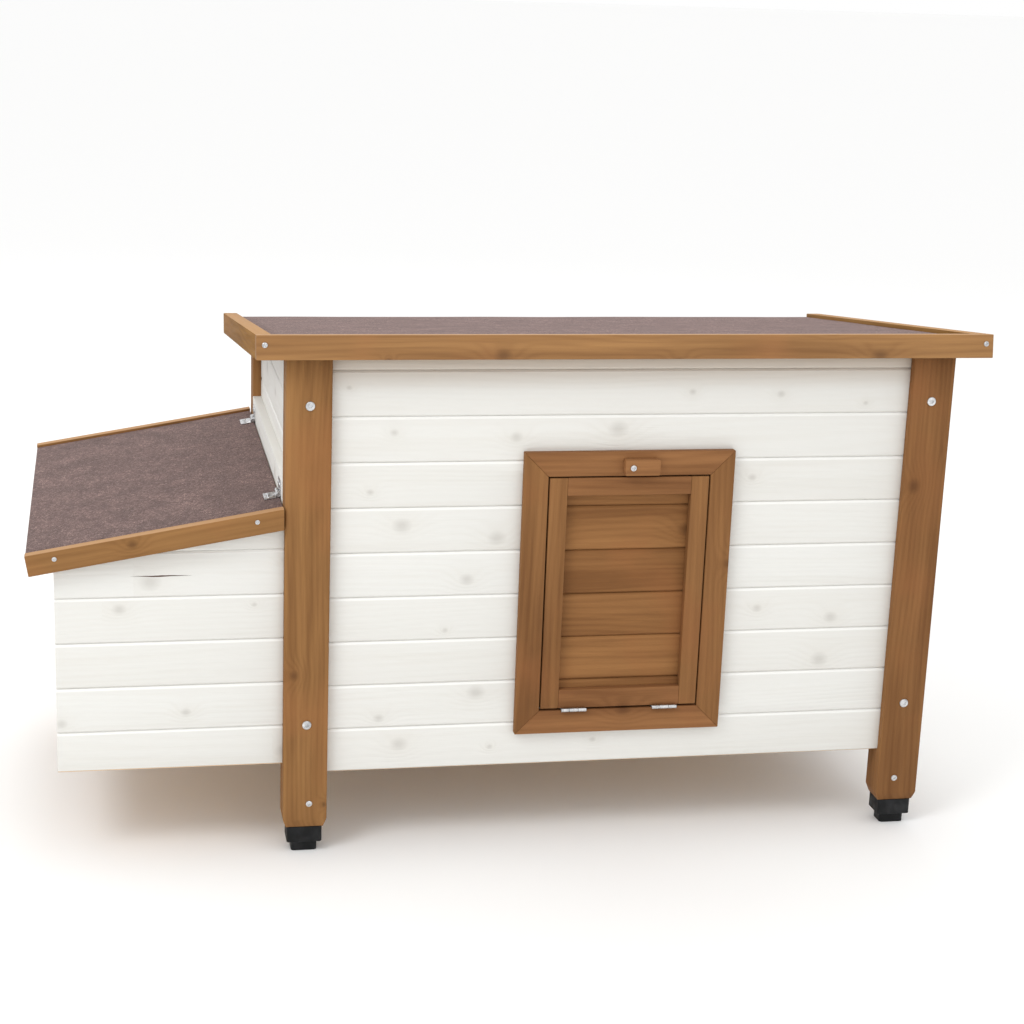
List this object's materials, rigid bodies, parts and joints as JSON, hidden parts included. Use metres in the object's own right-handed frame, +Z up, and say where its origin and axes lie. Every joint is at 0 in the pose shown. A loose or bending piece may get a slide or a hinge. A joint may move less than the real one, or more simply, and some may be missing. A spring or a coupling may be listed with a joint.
{
  "type": "rabbit hutch",
  "caption": "Raised wooden rabbit hutch with corner posts, sloping felt roof, fold-down door, turn button and a nest box with a hinged felt lid.",
  "frame": {"origin": "on the ground under the middle of the overall box", "axes": "+X to the right when facing the door, so the nest box is at -X; +Y towards the back; +Z up"},
  "size_m": [1.2056, 0.6348, 0.6769],
  "materials": {
    "brown_stained_wood": "satin brown stain on pine",
    "fascia_wood": "satin brown stain on pine battens",
    "whitewashed_wood": "matt whitewash on matched pine boards",
    "bare_pine": "sawn, unfinished",
    "plywood": "sanded plywood",
    "mineral_felt": "matt mineral grit on bitumen felt",
    "black_plastic": "matt moulded plastic",
    "zinc_plated_steel": "bright zinc plate"
  },
  "bodies": {
    "hutch": {"post_front_left": "brown_stained_wood", "post_front_right": "brown_stained_wood", "post_rear_left": "brown_stained_wood", "post_rear_right": "brown_stained_wood", "foot_front_left": "black_plastic", "foot_front_right": "black_plastic", "foot_rear_left": "black_plastic", "foot_rear_right": "black_plastic", "front_wall_boards": "whitewashed_wood", "back_wall_boards": "whitewashed_wood", "left_wall_boards": "whitewashed_wood", "right_wall_boards": "whitewashed_wood", "front_head_rail": "bare_pine", "rear_head_rail": "bare_pine", "left_rails": "bare_pine", "right_rails": "bare_pine", "floor_bearers": "bare_pine", "floor_panel": "plywood", "door_stops": "bare_pine", "casing_left": "brown_stained_wood", "casing_right": "brown_stained_wood", "casing_top": "brown_stained_wood", "casing_bottom": "brown_stained_wood", "hinge_board": "whitewashed_wood", "nest_front_boards": "whitewashed_wood", "nest_rear_boards": "whitewashed_wood", "nest_end_boards": "whitewashed_wood", "nest_battens": "bare_pine", "nest_floor_bearers": "bare_pine", "nest_floor": "plywood", "post_bolts": "zinc_plated_steel", "foot_screws": "zinc_plated_steel", "door_hinge_leaves": "zinc_plated_steel", "lid_hinge_leaves": "zinc_plated_steel", "roof_hinge_leaves": "zinc_plated_steel", "hinge_pins": "zinc_plated_steel", "hinge_screws": "zinc_plated_steel", "button_pivot": "zinc_plated_steel"},
    "door": {"door_stile_left": "brown_stained_wood", "door_stile_right": "brown_stained_wood", "door_rail_top": "brown_stained_wood", "door_rail_bottom": "brown_stained_wood", "door_boards": "brown_stained_wood", "door_hinge_flaps": "zinc_plated_steel"},
    "turn_button": {"turn_button": "brown_stained_wood"},
    "nest_lid": {"lid_panel": "plywood", "lid_felt": "mineral_felt", "lid_fascia_front": "fascia_wood", "lid_fascia_rear": "fascia_wood", "lid_hinge_flaps": "zinc_plated_steel", "lid_screws": "zinc_plated_steel"},
    "roof": {"roof_panel": "plywood", "roof_felt": "mineral_felt", "roof_fascia_front": "fascia_wood", "roof_fascia_left": "fascia_wood", "roof_fascia_right": "fascia_wood", "roof_battens": "bare_pine", "roof_hinge_flaps": "zinc_plated_steel", "roof_screws": "zinc_plated_steel"}
  },
  "joints": [
    {"name": "door_hinge", "type": "hinge", "parent": "hutch", "child": "door", "pos_m": [0.14326, -0.29476, 0.1832], "axis": [1, 0, 0], "range_deg": [0, 124]},
    {"name": "turn_button_pivot", "type": "hinge", "parent": "hutch", "child": "turn_button", "pos_m": [0.14326, -0.29226, 0.506], "axis": [0, 1, 0], "continuous": true},
    {"name": "nest_lid_hinge", "type": "hinge", "parent": "hutch", "child": "nest_lid", "pos_m": [-0.29354, -0.00786, 0.45896], "axis": [0, 1, 0], "range_deg": [0, 73]},
    {"name": "roof_hinge", "type": "hinge", "parent": "hutch", "child": "roof", "pos_m": [0.13726, 0.28044, 0.5782], "axis": [-1, 0, 0], "range_deg": [0, 86]}
  ]
}
